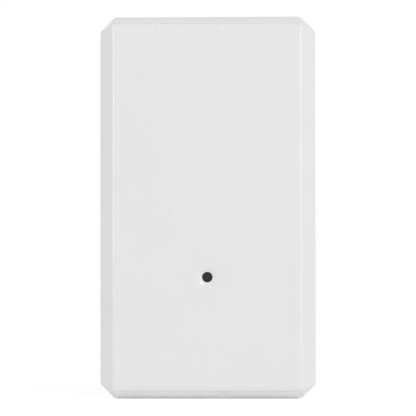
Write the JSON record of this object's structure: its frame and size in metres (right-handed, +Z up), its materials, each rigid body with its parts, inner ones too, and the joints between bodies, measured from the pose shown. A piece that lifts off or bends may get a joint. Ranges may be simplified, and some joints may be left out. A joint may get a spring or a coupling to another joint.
{
  "type": "vibration sensor tag",
  "caption": "Slim white stick-on tag with bevelled long sides, cut corners and a dark indicator dot; a spring switch inside senses vibration and a coin cell powers its radio.",
  "frame": {"origin": "centre of the adhesive face, on the surface that the tag is stuck to", "axes": "+Z up the tag's long side, +X to the right seen from the front, -Y out of the front face, +Y out of the adhesive face"},
  "size_m": [0.036, 0.0144, 0.0636],
  "materials": {
    "case_white": "moulded white ABS with a fine satin texture",
    "foam_tape": "grey closed-cell foam with a tacky face",
    "board_laminate": "green solder mask over glass laminate",
    "screw_steel": "nickel-plated steel",
    "black_moulding": "black glass-filled nylon",
    "contact_nickel": "nickel-plated spring steel",
    "contact_gold": "thin gold plating",
    "cell_steel": "drawn nickel-plated steel",
    "cell_seal": "moulded black polypropylene",
    "radio_laminate": "dark blue solder mask",
    "shield_tin": "tin-plated sheet",
    "led_white": "white moulded package",
    "led_resin": "clear resin with a yellow cast",
    "button_grey": "dark grey nylon",
    "sensor_black": "black moulded tube",
    "sensor_seal": "poured black epoxy",
    "spring_wire": "gold-plated spring wire",
    "capacitor_amber": "amber moulded epoxy",
    "chip_epoxy": "black moulded epoxy",
    "crystal_ceramic": "ceramic base with a metal lid",
    "chip_ceramic": "fired tan ceramic",
    "smoked_window": "smoked clear acrylic"
  },
  "bodies": {
    "base": {"rear_case": "case_white", "adhesive_pad": "foam_tape", "circuit_board": "board_laminate", "board_screws": "screw_steel", "battery_holder": "black_moulding", "battery_clip": "contact_nickel", "battery_leaf": "contact_gold", "cell_can": "cell_steel", "cell_gasket": "cell_seal", "cell_cap": "cell_steel", "radio_board": "radio_laminate", "radio_shield": "shield_tin", "radio_antenna": "contact_gold", "status_led": "led_white", "led_lens": "led_resin", "button_base": "black_moulding", "button_dome": "contact_nickel", "button_plate": "shield_tin", "button_legs": "contact_nickel", "sensor_tube": "sensor_black", "sensor_plugs": "sensor_seal", "sensor_post": "contact_gold", "sensor_lead": "contact_gold", "buffer_capacitor": "capacitor_amber", "buffer_straps": "contact_nickel", "regulator_chip": "chip_epoxy", "regulator_legs": "contact_nickel", "timing_crystal": "crystal_ceramic", "chip_capacitors": "chip_ceramic", "chip_resistors": "chip_epoxy"},
    "cover": {"front_cover": "case_white", "light_pipe": "smoked_window"},
    "button": {"button_plunger": "button_grey"},
    "spring": {"sensor_spring": "spring_wire"}
  },
  "joints": [
    {"name": "cover_release", "type": "slide", "parent": "base", "child": "cover", "axis": [0, -1, 0], "range_m": [0, 0.03]},
    {"name": "button_press", "type": "slide", "parent": "base", "child": "button", "axis": [0, 1, 0], "range_m": [0, 0.00025], "stiffness_N_per_m": 4000},
    {"name": "spring_sway", "type": "hinge", "parent": "base", "child": "spring", "pos_m": [0.0119, -0.0071, -0.01225], "axis": [0, 1, 0], "range_deg": [-3, 3], "stiffness_Nm_per_rad": 0.001}
  ]
}
